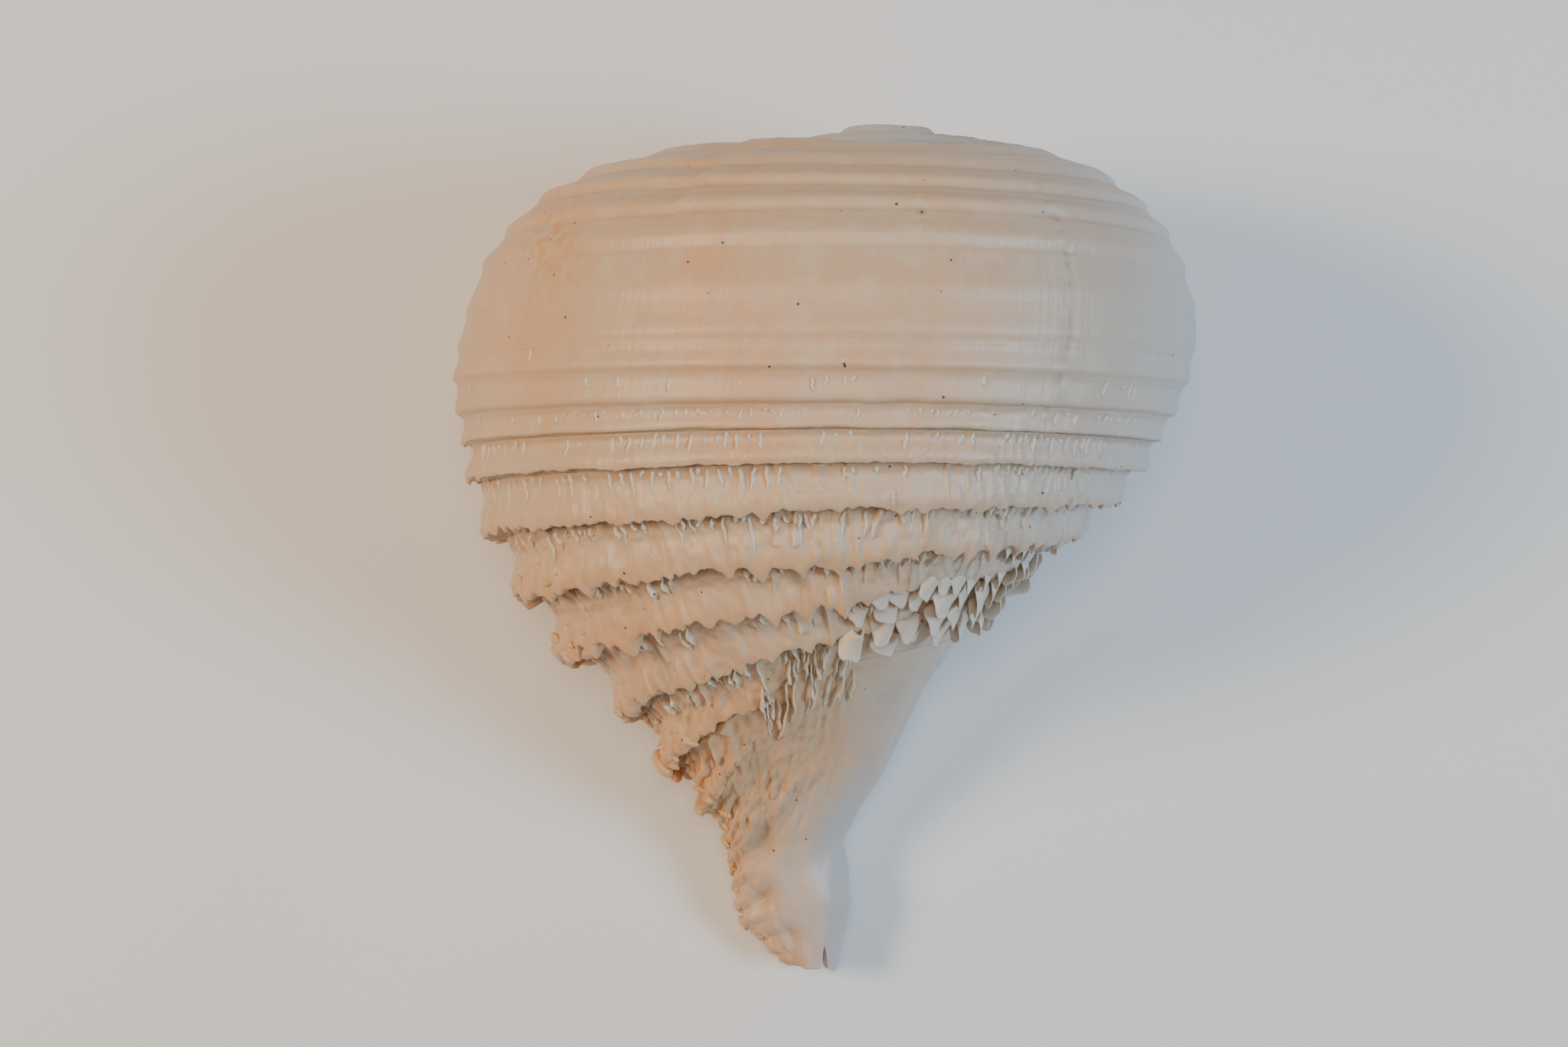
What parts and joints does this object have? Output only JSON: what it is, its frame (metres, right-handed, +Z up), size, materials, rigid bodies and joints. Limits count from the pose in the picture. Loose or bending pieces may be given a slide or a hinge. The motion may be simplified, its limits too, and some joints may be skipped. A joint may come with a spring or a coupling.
{
  "type": "papery rapa shell",
  "caption": "Turnip-shaped spiral sea snail shell with a low spire, ribbed and scaly base, open aperture underneath and a short curved canal.",
  "frame": {"origin": "middle of the bounding box's bottom face, where the shell lies on its aperture", "axes": "+Y along the coil axis towards the spire, -Y towards the canal tip, +Z up from the table, -X towards the outer lip"},
  "size_m": [0.0628, 0.074, 0.0491],
  "materials": {
    "shell": "satin ivory porcellaneous aragonite"
  },
  "bodies": {
    "root": {"shell": "shell"}
  },
  "joints": []
}
